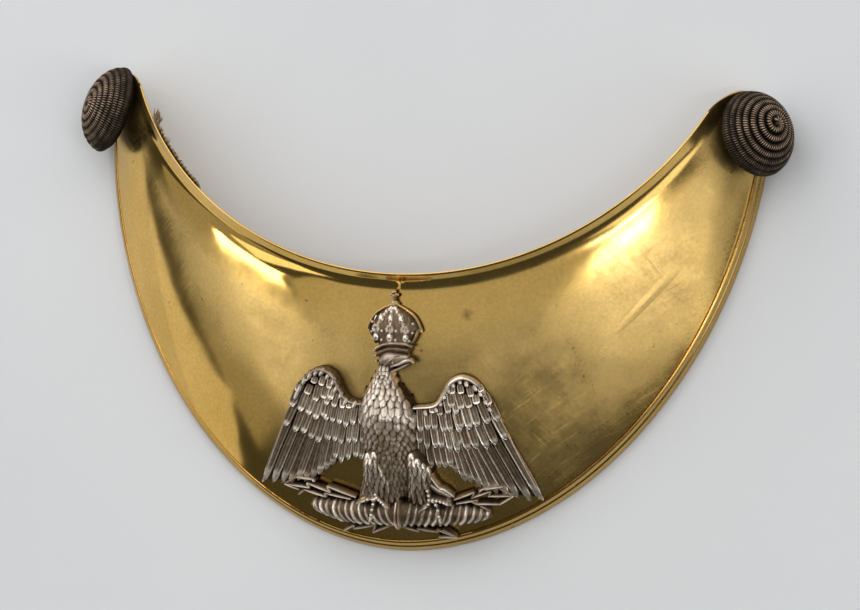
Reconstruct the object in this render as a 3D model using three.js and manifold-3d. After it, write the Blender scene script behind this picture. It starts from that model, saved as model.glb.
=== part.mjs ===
// An officer's brass gorget with a silvered eagle badge and two wound-cord buttons, lying face up on its rim.
// Millimetres, +Z up, +X to the viewer's right, +Y towards the horns. The origin is under the middle of the whole.

import * as THREE from "three";
import { mergeVertices } from "three/addons/utils/BufferGeometryUtils.js";
import Module from "manifold-3d";

// Driving dimensions of the crescent, measured from the lowest point of its rim before the origin is moved.
const plate = {
  halfWidth: 70, // the rim's greatest half width, at the horns
  length: 91, // from the lowest point of the rim to its widest place
  rimPower: 1.92, // the rim in plan is a superellipse with this power
  neckRadius: 66.6, // the neck edge in plan is an arc
  neckCentreY: 119.5,
  neckHeight: 24, // of the lip's edge above the table, in the middle
  neckFall: 0.486, // share of that height lost towards the horns
  tipFall: 0.095, // share lost close to the tips
  fallAngle: 72, // degrees from the middle at which those shares are reached
  thickness: 0.9,
  bulge: 0.075, // rise of a section above its chord, as a share of its run
  lipWidth: 3,
  lipLean: 46, // degrees above the horizontal in the middle
  lipLeanGain: 14, // more of it at the horns
  rimRun: 1.45, // the rim turns down over this run
  rimRise: 3.1,
  buttonAngle: 63.5, // degrees round the neck from the middle to a button
  tipReach: 8, // from the button's middle to the horn's tip
  tipShare: 0.52, // place across the section round which it shrinks towards the tip
};
const originY = 48.01; // middle of the whole length, where the origin is
const gap = 0.35; // between pieces that touch

const button = {
  radius: 8.8,
  height: 6.7,
  rings: 7,
  ringDepth: 0.45,
  seatShare: 0.64, // place across the horn, from the neck edge to the rim
  lean: 13, // degrees from square to the plate, towards the horn's tip
  lift: 0.75, // share of the leaning foot's drop by which it stands off the plate
  boreRadius: 1.5,
  boreDepth: 3,
};
const post = { radius: 1.2, holeRadius: 1.5, headRadius: 2.8, headThickness: 0.8 };
const badgePost = { radius: 1, holeRadius: 1.35, length: 2.6, places: [[0, 41], [0, 14]] };
const badge = { x: 1, webThickness: 0.9, edge: 0.3 };
const lining = { from: -58, to: -41, tuck: 2.4, reach: 1.1, thickness: 1 };

// The eagle, in plan from the crescent's lowest point: u is from its own middle line and v towards the crown.

// The wing's web, from the shoulder to the tip: its upper and lower edges.
const wingWeb = [
  { topU: 4.5, topV: 27.4, lowU: 4.5, lowV: 18.6 },
  { topU: 8.6, topV: 28.2, lowU: 8, lowV: 17.8 },
  { topU: 11, topV: 31.4, lowU: 11.6, lowV: 17.6 },
  { topU: 14.1, topV: 33.7, lowU: 15.2, lowV: 15.6 },
  { topU: 17.6, topV: 32, lowU: 19, lowV: 13.9 },
  { topU: 20.2, topV: 27.2, lowU: 23.2, lowV: 12.8 },
  { topU: 23, topV: 21.8, lowU: 27.4, lowV: 12.7 },
];
// Rows of feathers, from the longest at the wing's foot to the smallest under its front edge. Roots run straight from
// the inner to the outer feather, and tips run on a curve drawn towards a bend.
const featherRows = [
  { count: 6, roots: [10.6, 22.6, 20.2, 27], tips: [12.8, 17, 18, 11.4, 28.6, 12], half: 1.65, root: 1.7, tip: 1.3 },
  { count: 3, roots: [6, 22.4, 9.6, 22.6], tips: [6.6, 17.6, 9, 15.8, 10.8, 16.9], half: 1.3, root: 1.8, tip: 1.4 },
  { count: 5, roots: [6.4, 25.8, 19.2, 28.6], tips: [6.8, 21.6, 13, 20.4, 21.8, 22.8], half: 1.7, root: 2.1, tip: 1.9 },
  { count: 4, roots: [7, 28, 18.4, 30.8], tips: [7.2, 24.7, 13.5, 25.2, 20.2, 26.6], half: 1.9, root: 2.3, tip: 2.2 },
  { count: 3, roots: [9.8, 29.4, 16.4, 33], tips: [9, 27.4, 13.5, 28.4, 18.6, 30], half: 1.6, root: 2.4, tip: 2.5 },
];
// The raised front edge of the wing.
const wingEdge = [
  { u: 6.4, v: 27.6, half: 0.6, top: 2.2 },
  { u: 9.6, v: 29.2, half: 0.7, top: 2.4 },
  { u: 11.4, v: 32.4, half: 0.7, top: 2.5 },
  { u: 14.1, v: 33.8, half: 0.7, top: 2.5 },
  { u: 17.2, v: 32.8, half: 0.65, top: 2.3 },
  { u: 19.2, v: 30, half: 0.6, top: 2.1 },
  { u: 20.7, v: 26.8, half: 0.45, top: 1.8 },
];
// Rounded forms of the bird and its crown, each a row of sections along its length.
const body = [
  { u: 0.3, v: 12.4, half: 2.6, top: 2 },
  { u: 0.2, v: 16.5, half: 4.8, top: 3.3 },
  { u: 0, v: 21, half: 5.6, top: 4.2 },
  { u: -0.2, v: 25, half: 5.7, top: 4.5 },
  { u: -0.4, v: 28.6, half: 4.6, top: 4.1 },
  { u: -0.7, v: 31.4, half: 2.9, top: 3.7 },
  { u: -0.7, v: 34.4, half: 2, top: 3.5 },
  { u: -0.5, v: 37, half: 1.9, top: 3.5 },
  { u: 0, v: 39, half: 1.8, top: 3 },
];
const head = [
  { u: -2.3, v: 36.9, half: 1, top: 3 },
  { u: -0.6, v: 37.2, half: 1.7, top: 4 },
  { u: 1.4, v: 37.2, half: 1.5, top: 4.1 },
  { u: 3.2, v: 37, half: 0.9, top: 3.8 },
  { u: 4.6, v: 36.2, half: 0.35, top: 3.2 },
];
const lowerBeak = [
  { u: 0.2, v: 35.4, half: 0.8, top: 3.6 },
  { u: 1.8, v: 35.3, half: 0.5, top: 3.4 },
  { u: 2.9, v: 35.6, half: 0.25, top: 3 },
];
const crown = [
  { u: 0.6, v: 38.6, half: 3.3, top: 2.6 },
  { u: 0.6, v: 40, half: 3.6, top: 2.9 },
  { u: 0.6, v: 41.8, half: 4.7, top: 3.3 },
  { u: 0.5, v: 43.6, half: 5, top: 3.4 },
  { u: 0.4, v: 45.3, half: 4.1, top: 3.1 },
  { u: 0.3, v: 46.5, half: 2.2, top: 2.6 },
  { u: 0.2, v: 47, half: 1, top: 2 },
];
const crownBand = [
  { u: -3, v: 39, half: 0.7, top: 3 },
  { u: 0.6, v: 39.7, half: 0.8, top: 3.8 },
  { u: 4.2, v: 39.2, half: 0.7, top: 3 },
];
const crownArch = { spread: [-3.4, 0, 3.4], foot: 40.2, top: 46.4, half: 0.5 };
const crownOrb = [
  { u: 0.2, v: 46.6, half: 0.4, top: 2 },
  { u: 0.2, v: 47.3, half: 0.95, top: 2.5 },
  { u: 0.1, v: 48, half: 0.4, top: 2 },
];
const crownCross = [
  [{ u: 0.1, v: 47.7, half: 0.35, top: 2 }, { u: 0, v: 49.7, half: 0.45, top: 1.8 }],
  [{ u: -0.9, v: 48.9, half: 0.35, top: 1.9 }, { u: 1, v: 49, half: 0.35, top: 1.9 }],
];
const tail = [
  { u: 0.6, v: 16, half: 2.6, top: 2.4 },
  { u: 0.9, v: 12.5, half: 3.4, top: 2.2 },
  { u: 1, v: 9, half: 2.6, top: 1.6 },
];
const legs = [
  { topU: -3.4, topV: 20.6, footU: -3.6, footV: 11 },
  { topU: 4, topV: 20.6, footU: 6.4, footV: 11.4 },
];
const thigh = [
  { share: 0, half: 1.6, top: 3.6 },
  { share: 0.3, half: 2.5, top: 4.4 },
  { share: 0.65, half: 2.1, top: 4 },
  { share: 1, half: 1.2, top: 3.2 },
];
const toes = { spread: [-1.9, 0.1, 2.1], half: 0.55, knuckle: 8.6, claw: 6.2 };
// The thunderbolt: a spindle of wrapped leaves with a tie in the middle, and zigzag darts behind it.
const boltHalf = [
  { u: -0.6, v: 7.8, half: 2.1, top: 2.9 },
  { u: 5, v: 7.7, half: 2.5, top: 3.2 },
  { u: 10, v: 7.8, half: 2.2, top: 2.9 },
  { u: 14.5, v: 8.2, half: 1.5, top: 2.3 },
  { u: 18.4, v: 8.7, half: 0.4, top: 1.4 },
];
const boltLeaf = { count: 4, first: 3.2, pitch: 3.3, slant: 1.9, half: 0.75, rise: 0.55 };
const boltTie = [
  { u: 0.7, v: 5.2, half: 0.9, top: 2.8 },
  { u: 0.7, v: 7.8, half: 1, top: 4.1 },
  { u: 0.7, v: 10.4, half: 0.9, top: 2.8 },
];
const darts = [
  { from: [6.5, 9.8], to: [23.2, 12.5], jog: 0.75, half: 0.5 },
  { from: [2.5, 6.2], to: [11.4, 3.6], jog: 0.6, half: 0.5 },
];

const degrees = Math.PI / 180;
const mix = (a, b, t) => a + (b - a) * t;

// The crescent's sections: each stands upright on a line through the neck arc's centre, at an angle from the middle.

function rimRadius(angle) {
  let near = 30;
  let far = 200;
  for (let step = 0; step < 45; step++) {
    const middle = (near + far) / 2;
    const x = Math.abs(middle * Math.sin(angle)) / plate.halfWidth;
    const y = Math.abs(plate.neckCentreY - middle * Math.cos(angle) - plate.length) / plate.length;
    if (x ** plate.rimPower + y ** plate.rimPower < 1) near = middle;
    else far = middle;
  }
  return (near + far) / 2;
}

function lipEdge(angle) {
  const share = Math.abs(angle) / (plate.fallAngle * degrees);
  const height = plate.neckHeight * (1 - plate.neckFall * share ** 2 - plate.tipFall * share ** 14);
  const lean = (plate.lipLean + plate.lipLeanGain * share ** 2) * degrees;
  return { height, lean };
}

// Where the dished body starts below the lip and ends above the turned rim, as radius and height.
function bodyEnds(angle) {
  const { height, lean } = lipEdge(angle);
  return {
    startRadius: plate.neckRadius + plate.lipWidth * Math.cos(lean),
    startHeight: height - plate.lipWidth * Math.sin(lean),
    endRadius: rimRadius(angle) - plate.rimRun,
    endHeight: plate.rimRise,
  };
}

function bodyHeight(ends, share) {
  const run = ends.endRadius - ends.startRadius;
  return mix(ends.startHeight, ends.endHeight, share) + 4 * plate.bulge * run * share * (1 - share);
}

// Height of the crescent's front above the table at a place in plan.
function frontHeight(x, y) {
  const angle = Math.atan2(x, plate.neckCentreY - y);
  const ends = bodyEnds(angle);
  const radius = Math.hypot(x, plate.neckCentreY - y);
  return bodyHeight(ends, (radius - ends.startRadius) / (ends.endRadius - ends.startRadius));
}

function frontNormal(x, y) {
  const step = 0.05;
  const slopeX = (frontHeight(x + step, y) - frontHeight(x - step, y)) / (2 * step);
  const slopeY = (frontHeight(x, y + step) - frontHeight(x, y - step)) / (2 * step);
  return new THREE.Vector3(-slopeX, -slopeY, 1).normalize();
}

// A point at a height above the crescent's front, square to it.
function onFront(x, y, height) {
  return new THREE.Vector3(x, y, frontHeight(x, y)).addScaledVector(frontNormal(x, y), height);
}

// The section's front line from the lip's edge to the rim's foot, as [radius, height] points.
function sectionLine(angle) {
  const { height } = lipEdge(angle);
  const ends = bodyEnds(angle);
  const line = [[plate.neckRadius, height]];
  // The lip meets the body in a small hollow fillet: its two ends and its middle, which lies above the corner.
  const fillet = { reach: 0.7, bodyShare: 0.06, middleRun: 0.25, middleRise: 0.2 };
  const lipSlope = (height - ends.startHeight) / (plate.neckRadius - ends.startRadius);
  const filletEnd = bodyHeight(ends, fillet.bodyShare);
  line.push([ends.startRadius - fillet.reach, ends.startHeight - fillet.reach * lipSlope]);
  line.push([ends.startRadius + fillet.middleRun, (ends.startHeight + filletEnd) / 2 + fillet.middleRise]);
  for (const share of [fillet.bodyShare, 0.2, 0.36, 0.52, 0.68, 0.84, 1]) {
    line.push([mix(ends.startRadius, ends.endRadius, share), bodyHeight(ends, share)]);
  }
  // The rim turns down to the table, as shares of its run and of its rise.
  for (const [run, rise] of [[0.6, 0.58], [0.92, 0.27], [1, 0]]) {
    line.push([ends.endRadius + run * plate.rimRun, rise * plate.rimRise]);
  }
  return line;
}

// A closed solid between two grids of points with the same rows and columns. Seen from the front, the columns run to
// the left of the rows' direction.
function sheet(front, back) {
  const rows = front.length;
  const columns = front[0].length;
  const points = [...front.flat(), ...back.flat()];
  const at = (side, row, column) => (side * rows + row) * columns + column;
  const faces = [];
  const quad = (a, b, c, d) => faces.push(a, b, c, a, c, d);
  for (let row = 0; row + 1 < rows; row++) {
    for (let column = 0; column + 1 < columns; column++) {
      quad(at(0, row, column), at(0, row + 1, column), at(0, row + 1, column + 1), at(0, row, column + 1));
      quad(at(1, row, column), at(1, row, column + 1), at(1, row + 1, column + 1), at(1, row + 1, column));
    }
    quad(at(0, row, 0), at(1, row, 0), at(1, row + 1, 0), at(0, row + 1, 0));
    const last = columns - 1;
    quad(at(0, row, last), at(0, row + 1, last), at(1, row + 1, last), at(1, row, last));
  }
  for (let column = 0; column + 1 < columns; column++) {
    quad(at(0, 0, column), at(0, 0, column + 1), at(1, 0, column + 1), at(1, 0, column));
    const last = rows - 1;
    quad(at(0, last, column), at(1, last, column), at(1, last, column + 1), at(0, last, column + 1));
  }
  const geometry = new THREE.BufferGeometry().setFromPoints(points);
  geometry.setIndex(faces);
  return geometry;
}

// Joining and cutting.

const wasm = await Module();
wasm.setup();

function solid(geometry) {
  const bare = new THREE.BufferGeometry();
  bare.setAttribute("position", geometry.getAttribute("position"));
  bare.setIndex(geometry.index);
  const merged = mergeVertices(bare, 1e-4);
  const vertProperties = new Float32Array(merged.getAttribute("position").array);
  const triVerts = new Uint32Array(merged.index.array);
  return new wasm.Manifold(new wasm.Mesh({ numProp: 3, vertProperties, triVerts }));
}

function geometryOf(manifold) {
  const mesh = manifold.getMesh();
  const geometry = new THREE.BufferGeometry();
  geometry.setAttribute("position", new THREE.BufferAttribute(new Float32Array(mesh.vertProperties), 3));
  geometry.setIndex(new THREE.BufferAttribute(new Uint32Array(mesh.triVerts), 1));
  return geometry;
}

const gorget = new THREE.Group();
gorget.position.y = -originY;

function addPiece(name, geometry, material) {
  const mesh = new THREE.Mesh(geometry, material);
  mesh.name = name;
  gorget.add(mesh);
  return mesh;
}

const brass = new THREE.MeshStandardMaterial({ color: 0xb08a3c, roughness: 0.25, metalness: 1 });
const silver = new THREE.MeshStandardMaterial({ color: 0x8f8c86, roughness: 0.4, metalness: 1 });
const cord = new THREE.MeshStandardMaterial({ color: 0x4a3a30, roughness: 0.6, metalness: 0.6 });
const leather = new THREE.MeshStandardMaterial({ color: 0x9a7a52, roughness: 0.9, metalness: 0 });

// Buttons: a dome of wound rings on each horn, leaning back a little from the plate, over a blind bore for its post.

function buttonPlace(side) {
  const angle = plate.buttonAngle * degrees;
  const ends = bodyEnds(angle);
  const radius = mix(plate.neckRadius, ends.endRadius + plate.rimRun, button.seatShare);
  const x = side * radius * Math.sin(angle);
  const y = plate.neckCentreY - radius * Math.cos(angle);
  const normal = frontNormal(x, y);
  const turn = new THREE.Vector3().crossVectors(normal, new THREE.Vector3(0, 1, 0)).normalize();
  const axis = normal.clone().applyAxisAngle(turn, button.lean * degrees);
  const clearance = gap + button.radius * Math.sin(button.lean * degrees) * button.lift;
  return { seat: onFront(x, y, 0), axis, clearance };
}

// Turns a lathe's upright axis to a direction and moves its foot to a point.
function stand(geometry, foot, axis) {
  const turn = new THREE.Quaternion().setFromUnitVectors(new THREE.Vector3(0, 1, 0), axis);
  return geometry.applyQuaternion(turn).translate(foot.x, foot.y, foot.z);
}

function buttonGeometry() {
  const profile = [[0, button.boreDepth], [button.boreRadius, button.boreDepth], [button.boreRadius, 0]];
  profile.push([button.radius - 0.9, 0]);
  for (let ring = 0; ring < button.rings; ring++) {
    for (const [part, depth] of [[0.05, button.ringDepth], [0.5, 0]]) {
      const rise = ((ring + part) / button.rings) * 90 * degrees;
      const radius = (button.radius - depth) * Math.cos(rise);
      profile.push([radius, (button.height - depth) * Math.sin(rise) + 0.35 * (1 - Math.sin(rise))]);
    }
  }
  profile.push([0, button.height]);
  return new THREE.LatheGeometry(profile.map(([r, h]) => new THREE.Vector2(r, h)), 16);
}

function postGeometry(clearance) {
  const top = clearance + button.boreDepth - gap;
  const foot = -plate.thickness - 0.75;
  const head = foot - post.headThickness;
  const profile = [[0, head], [post.headRadius, head], [post.headRadius, foot], [post.radius, foot]];
  profile.push([post.radius, top], [0, top]);
  return new THREE.LatheGeometry(profile.map(([r, h]) => new THREE.Vector2(r, h)), 12);
}

// The plate: one sheet of brass, dished, with holes for the button and badge posts.

function plateGeometry() {
  const tipTurn = plate.tipReach / plate.neckRadius;
  const buttonTurn = plate.buttonAngle * degrees;
  const angles = [];
  const bodySteps = 17;
  for (let step = 0; step <= bodySteps; step++) angles.push((step / bodySteps) * buttonTurn);
  for (const share of [0.35, 0.62, 0.82, 0.94, 0.995]) angles.push(buttonTurn + share * tipTurn);
  const all = [...angles.slice(1).reverse(), ...angles.map((angle) => -angle)];
  const front = [];
  const back = [];
  for (const angle of all) {
    const beyond = Math.max(0, (Math.abs(angle) - buttonTurn) / tipTurn);
    const keep = Math.sqrt(1 - beyond ** 2);
    const line = sectionLine(angle);
    const [foot, edge] = [line[line.length - 1], line[0]];
    const middle = [mix(edge[0], foot[0], plate.tipShare), mix(edge[1], foot[1], plate.tipShare)];
    const place = ([radius, height]) => {
      const r = mix(middle[0], radius, keep);
      return new THREE.Vector3(r * Math.sin(angle), plate.neckCentreY - r * Math.cos(angle), mix(middle[1], height, keep));
    };
    front.push(line.map(place));
    back.push(
      line.map(([radius, height], i) => {
        const before = line[Math.max(0, i - 1)];
        const after = line[Math.min(line.length - 1, i + 1)];
        const run = [after[0] - before[0], after[1] - before[1]];
        const length = Math.hypot(...run);
        const shrink = plate.thickness / Math.max(keep, 0.35);
        if (i === line.length - 1) return place([radius - shrink, 0]);
        return place([radius + (run[1] / length) * shrink, Math.max(0, height - (run[0] / length) * shrink)]);
      }),
    );
  }
  let body = solid(sheet(front, back));
  const holes = [-1, 1].map((side) => {
    const { seat, axis } = buttonPlace(side);
    const drill = new THREE.CylinderGeometry(post.holeRadius, post.holeRadius, 8, 12);
    return stand(drill, seat, axis);
  });
  for (const [u, v] of badgePost.places) {
    const drill = new THREE.CylinderGeometry(badgePost.holeRadius, badgePost.holeRadius, 6, 12);
    holes.push(stand(drill, onFront(badge.x + u, v, 0), frontNormal(badge.x + u, v)));
  }
  for (const hole of holes) body = body.subtract(solid(hole));
  return geometryOf(body);
}

addPiece("plate", plateGeometry(), brass);

for (const [name, side] of [["left", -1], ["right", 1]]) {
  const { seat, axis, clearance } = buttonPlace(side);
  const foot = seat.clone().addScaledVector(axis, clearance);
  addPiece(`button_${name}`, stand(buttonGeometry(), foot, axis), cord);
  addPiece(`button_post_${name}`, stand(postGeometry(clearance), seat, axis), silver);
}

// The lining's torn strip: it lies behind the lip, along part of the left of the neck, and its ragged edge shows past it.

function liningGeometry() {
  const steps = 16;
  const front = [];
  const back = [];
  for (let step = 0; step <= steps; step++) {
    const angle = mix(lining.to, lining.from, step / steps) * degrees;
    const { height, lean } = lipEdge(angle);
    const ragged = lining.reach * (0.55 + 0.3 * Math.sin(step * 2.1) + 0.25 * Math.sin(step * 5.3));
    const place = (along, behind) => {
      const radius = plate.neckRadius + along * Math.cos(lean) - behind * Math.sin(lean);
      const rise = height - along * Math.sin(lean) - behind * Math.cos(lean);
      return new THREE.Vector3(radius * Math.sin(angle), plate.neckCentreY - radius * Math.cos(angle), rise);
    };
    const row = [-ragged, lining.tuck / 2, lining.tuck];
    front.push(row.map((along) => place(along, plate.thickness + gap)));
    back.push(row.map((along) => place(along, plate.thickness + gap + lining.thickness)));
  }
  return sheet(front, back);
}

addPiece("lining_scrap", liningGeometry(), leather);

// The eagle badge: rounded forms and feathers raised on a web that follows the plate, joined into one casting.

function onBadge(u, v, height) {
  return onFront(badge.x + u, v, gap + height);
}

// A rounded ridge along a row of sections, with a flat underside at a height.
function ridge(sections, sides, underside) {
  const front = [];
  const back = [];
  sections.forEach((section, i) => {
    const before = sections[Math.max(0, i - 1)];
    const after = sections[Math.min(sections.length - 1, i + 1)];
    const along = new THREE.Vector2(after.u - before.u, after.v - before.v).normalize();
    const across = (column) => {
      const angle = (column / sides - 0.5) * Math.PI;
      const side = section.half * Math.sin(angle);
      const rise = underside + badge.edge + (section.top - underside - badge.edge) * Math.cos(angle);
      return { u: section.u - along.y * side, v: section.v + along.x * side, rise };
    };
    const columns = [...Array(sides + 1).keys()].map(across);
    front.push(columns.map(({ u, v, rise }) => onBadge(u, v, rise)));
    back.push(columns.map(({ u, v }) => onBadge(u, v, underside)));
  });
  return solid(sheet(front, back));
}

const underFeathers = 0.4;
const underForms = 0.12;
const underBolt = 0.06;

function feather(root, tip, half, rootTop, tipTop) {
  const shape = [[0, 0.85], [0.7, 1], [1, 0.4]];
  const sections = shape.map(([share, width]) => ({
    u: mix(root[0], tip[0], share),
    v: mix(root[1], tip[1], share),
    half: half * width,
    top: mix(rootTop, tipTop, share),
  }));
  return ridge(sections, 2, underFeathers);
}

function curvePoint([u0, v0, bendU, bendV, u1, v1], t) {
  const keep = (1 - t) ** 2;
  const bend = 2 * t * (1 - t);
  return [keep * u0 + bend * bendU + t * t * u1, keep * v0 + bend * bendV + t * t * v1];
}

function wing(side) {
  const mirror = (section) => ({ ...section, u: side * section.u });
  const web = side < 0 ? [...wingWeb].reverse() : wingWeb;
  const across = [0, 0.25, 0.5, 0.75, 1];
  const grid = (height) =>
    web.map(({ topU, topV, lowU, lowV }) =>
      across.map((share) => onBadge(side * mix(lowU, topU, share), mix(lowV, topV, share), height)),
    );
  const parts = [solid(sheet(grid(badge.webThickness), grid(0)))];
  for (const row of featherRows) {
    for (let i = 0; i < row.count; i++) {
      const t = i / (row.count - 1);
      const root = [side * mix(row.roots[0], row.roots[2], t), mix(row.roots[1], row.roots[3], t)];
      const [tipU, tipV] = curvePoint(row.tips, t);
      parts.push(feather(root, [side * tipU, tipV], row.half, row.root, row.tip));
    }
  }
  parts.push(ridge(wingEdge.map(mirror), 2, underFeathers));
  return parts;
}

function crownParts() {
  const parts = [ridge(crown, 5, underForms), ridge(crownBand, 3, underFeathers), ridge(crownOrb, 3, underForms)];
  for (const bar of crownCross) parts.push(ridge(bar, 2, underForms));
  for (const spread of crownArch.spread) {
    const sections = [0, 0.3, 0.6, 0.85, 1].map((t) => ({
      u: crown[2].u + spread * (1 + 0.2 * Math.sin(Math.PI * t)) * (1 - t ** 3),
      v: mix(crownArch.foot, crownArch.top, t),
      half: crownArch.half,
      top: mix(3.5, 3, t) + (Math.abs(spread) < 1 ? 0.5 : 0),
    }));
    parts.push(ridge(sections, 2, underFeathers));
  }
  return parts;
}

function legParts() {
  const parts = [ridge(tail, 3, underForms)];
  for (const leg of legs) {
    const sections = thigh.map(({ share, half, top }) => ({
      u: mix(leg.topU, leg.footU, share),
      v: mix(leg.topV, leg.footV, share),
      half,
      top,
    }));
    parts.push(ridge(sections, 4, underForms));
    for (const spread of toes.spread) {
      const toe = [
        { u: leg.footU, v: leg.footV + 0.6, half: toes.half, top: 3.4 },
        { u: leg.footU + spread * 0.8, v: toes.knuckle, half: toes.half, top: 4.3 },
        { u: leg.footU + spread, v: toes.claw, half: 0.3, top: 3.2 },
      ];
      parts.push(ridge(toe, 2, underFeathers));
    }
  }
  return parts;
}

function thunderbolt() {
  const parts = [ridge(boltTie, 3, underFeathers)];
  for (const side of [-1, 1]) {
    const half = boltHalf.map((section) => ({ ...section, u: 0.7 + side * section.u }));
    parts.push(ridge(half, 4, underBolt + 0.04 * side));
    for (let i = 0; i < boltLeaf.count; i++) {
      const u = boltLeaf.first + i * boltLeaf.pitch;
      const along = u / boltHalf[boltHalf.length - 1].u;
      const reach = mix(2.5, 1.3, along ** 2);
      const v = mix(7.7, 8.4, along ** 2);
      const top = mix(3.3, 2.3, along ** 2) + boltLeaf.rise;
      const leaf = [-1, 0, 1].map((end) => ({
        u: 0.7 + side * (u + end * boltLeaf.slant * 0.5),
        v: v + end * reach,
        half: boltLeaf.half,
        top: end === 0 ? top : top - 1.3,
      }));
      parts.push(ridge(leaf, 2, underFeathers));
    }
    for (const dart of darts) {
      const zigzag = [0, 0.52, 0.6, 1].map((t, i) => ({
        u: 0.7 + side * mix(dart.from[0], dart.to[0], t),
        v: mix(dart.from[1], dart.to[1], t) + (i % 2 ? dart.jog : -dart.jog) * (t > 0 && t < 1 ? 1 : 0),
        half: t === 1 ? 0.2 : dart.half,
        top: 1.5,
      }));
      parts.push(ridge(zigzag, 2, underForms));
    }
  }
  return parts;
}

function badgePosts() {
  return badgePost.places.map(([u, v]) => {
    const length = badgePost.length + 1.5;
    const pin = new THREE.CylinderGeometry(badgePost.radius, badgePost.radius, length, 10);
    pin.translate(0, 1.5 - length / 2, 0);
    return solid(stand(pin, onBadge(u, v, 0), frontNormal(badge.x + u, v)));
  });
}

const castings = [ridge(body, 5, underForms), ridge(head, 4, underFeathers), ridge(lowerBeak, 2, underFeathers)];
castings.push(...wing(-1), ...wing(1), ...crownParts(), ...legParts(), ...thunderbolt(), ...badgePosts());
addPiece("eagle_badge", geometryOf(castings.reduce((whole, part) => whole.add(part))), silver);

export default gorget;
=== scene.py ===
"""A brass gorget with a silvered eagle badge and two buttons of wound cord, lying face up on a pale table.

Lengths are millimetres, and places are measured from the lowest point of the rim. on_frame turns them
into the frame's metres.
"""

import bmesh
import bpy
import numpy as np
from mathutils import Matrix, Vector


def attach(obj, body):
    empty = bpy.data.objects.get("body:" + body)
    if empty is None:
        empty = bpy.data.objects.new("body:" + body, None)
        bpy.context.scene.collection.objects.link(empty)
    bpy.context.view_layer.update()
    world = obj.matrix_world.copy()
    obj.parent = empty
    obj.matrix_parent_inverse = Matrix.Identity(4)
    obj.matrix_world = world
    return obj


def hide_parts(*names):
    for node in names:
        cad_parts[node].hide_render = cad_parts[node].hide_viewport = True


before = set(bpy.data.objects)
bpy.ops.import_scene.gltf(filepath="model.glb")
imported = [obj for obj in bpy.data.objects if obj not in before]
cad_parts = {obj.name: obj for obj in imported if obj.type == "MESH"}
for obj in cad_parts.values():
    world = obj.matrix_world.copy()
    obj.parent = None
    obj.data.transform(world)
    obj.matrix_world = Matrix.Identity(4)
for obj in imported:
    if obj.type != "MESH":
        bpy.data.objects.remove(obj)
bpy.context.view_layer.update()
scene = bpy.context.scene

# Plate. The gorget is one crescent of sheet brass, dished over a form and polished. Its neck edge is flared
# up into a narrow lip, and its outer edge is turned down in a ribbed border, on which it lies.

mm = 0.001
origin_y = 48.01
half_width = 70.0
rim_length = 91.0
rim_power = 1.92
neck_radius = 66.6
neck_centre_y = 119.5
neck_height = 24.0
neck_fall = 0.486
tip_fall = 0.095
fall_angle = np.radians(72)
sheet_thickness = 0.9
bulge = 0.075
lip_width = 3.0
lip_lean = np.radians(52)
lip_lean_gain = np.radians(14)
rim_run = 1.45
rim_rise = 3.1
lip_edge_share = 0.5
border_width = 1.9
body_count = 46
button_angle = np.radians(63.5)
tip_share = 0.52
tip_turns = np.array([6.4, 8.0]) / neck_radius
# The border's section: how far in from the rim and how high each point is, outside and then inside.
outside_inset = [1.87, 1.74, 1.55, 1.3, 1.08, 0.9, 0.78, 0.8, 0.68, 0.52, 0.34, 0.18, 0.06, 0.0, 0.05, 0.2]
outside_rise = [3.0, 3.16, 3.22, 3.12, 2.88, 2.5, 2.1, 1.9, 1.8, 1.68, 1.4, 1.0, 0.5, 0.18, 0.05, 0.0]
border_inset = np.array(outside_inset + [0.55, 0.7, 0.82, 1.0, 1.5])
border_rise = np.array(outside_rise + [0.0, 0.06, 0.3, 0.9, 1.75])


def mix(a, b, share):
    return a + (b - a) * share


def unit(vectors):
    return vectors / np.linalg.norm(vectors, axis=-1, keepdims=True)


def on_frame(points):
    """Millimetres from the rim's lowest point, as metres in the frame."""
    return (np.asarray(points) - (0, origin_y, 0)) * mm


def rim_radius(angle):
    """Plan distance of the rim from the neck arc's centre: the rim is a superellipse."""
    near = np.full(np.shape(angle), 30.0)
    far = np.full(np.shape(angle), 200.0)
    for _ in range(45):
        middle = (near + far) / 2
        x = np.abs(middle * np.sin(angle)) / half_width
        y = np.abs(neck_centre_y - middle * np.cos(angle) - rim_length) / rim_length
        inside = x**rim_power + y**rim_power < 1
        near = np.where(inside, middle, near)
        far = np.where(inside, far, middle)
    return (near + far) / 2


def lip_edge(angle):
    share = np.abs(angle) / fall_angle
    height = neck_height * (1 - neck_fall * share**2 - tip_fall * share**14)
    return height, lip_lean + lip_lean_gain * share**2


def body_ends(angle):
    """Radius and height where the dished body starts below the lip, and where it ends above the rim."""
    height, lean = lip_edge(angle)
    start_radius = neck_radius + lip_width * np.cos(lean)
    start_height = height - lip_width * np.sin(lean)
    return start_radius, start_height, rim_radius(angle) - rim_run, rim_rise


def body_point(ends, share):
    start_radius, start_height, end_radius, end_height = ends
    rise = 4 * bulge * (end_radius - start_radius) * share * (1 - share)
    return mix(start_radius, end_radius, share), mix(start_height, end_height, share) + rise


def front_height(x, y):
    ends = body_ends(np.arctan2(x, neck_centre_y - y))
    radius = np.hypot(x, neck_centre_y - y)
    return body_point(ends, (radius - ends[0]) / (ends[2] - ends[0]))[1]


def front_normal(x, y):
    step = 0.05
    slope_x = (front_height(x + step, y) - front_height(x - step, y)) / (2 * step)
    slope_y = (front_height(x, y + step) - front_height(x, y - step)) / (2 * step)
    return unit(np.stack([-slope_x, -slope_y, np.ones_like(slope_x)], axis=-1))


def on_front(x, y, height):
    """Points at a height above the plate's front, square to it."""
    foot = np.stack([x, y, front_height(x, y)], axis=-1)
    return foot + np.asarray(height)[..., None] * front_normal(x, y)


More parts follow.
